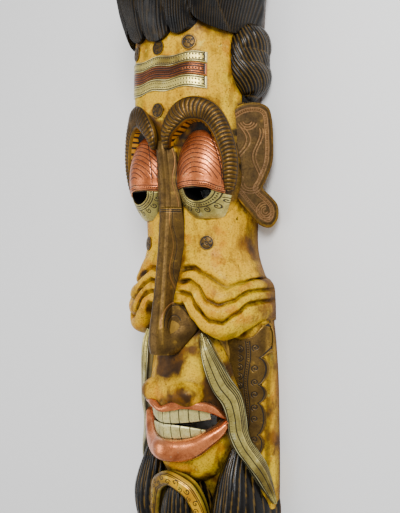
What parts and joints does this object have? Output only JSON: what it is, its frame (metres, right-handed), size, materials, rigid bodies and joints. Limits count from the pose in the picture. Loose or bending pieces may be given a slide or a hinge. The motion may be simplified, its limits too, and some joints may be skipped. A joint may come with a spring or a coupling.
{
  "type": "wooden mask",
  "caption": "Long carved and painted wooden face mask with a hollow back, sheet-metal brows, eyelids, nose, ears, lips and moustaches, lying on its back.",
  "frame": {"origin": "middle of the bounding box on the flat back rim that the mask lies on", "axes": "+Y up the head towards the crown of the hair, +Z out of the face, +X to the mask's own left"},
  "size_m": [0.238, 0.88, 0.15],
  "materials": {
    "painted_wood": "aged paint",
    "brass_sheet": "dark patina",
    "copper_sheet": "worn copper",
    "nickel_silver_sheet": "worn nickel silver",
    "tooth_sheet": "worn pale metal"
  },
  "bodies": {
    "root": {"mask_body": "painted_wood", "nose_sheet_upper": "brass_sheet", "nose_sheet_lower": "brass_sheet", "brow_left": "brass_sheet", "brow_right": "brass_sheet", "eyelid_left": "copper_sheet", "eyelid_right": "copper_sheet", "lower_lid_left": "nickel_silver_sheet", "lower_lid_right": "nickel_silver_sheet", "band_top": "nickel_silver_sheet", "band_middle": "copper_sheet", "band_bottom": "nickel_silver_sheet", "disc_forehead_centre": "brass_sheet", "disc_forehead_left": "brass_sheet", "disc_forehead_right": "brass_sheet", "disc_brow": "brass_sheet", "disc_cheek_left": "brass_sheet", "disc_cheek_right": "brass_sheet", "ear_sheet_left": "brass_sheet", "ear_sheet_right": "brass_sheet", "cheek_panel_left": "brass_sheet", "cheek_panel_right": "brass_sheet", "moustache_left": "nickel_silver_sheet", "moustache_right": "nickel_silver_sheet", "lip_upper": "copper_sheet", "lip_lower": "copper_sheet", "teeth_upper": "tooth_sheet", "teeth_lower": "tooth_sheet", "chin_sheet": "brass_sheet"}
  },
  "joints": []
}
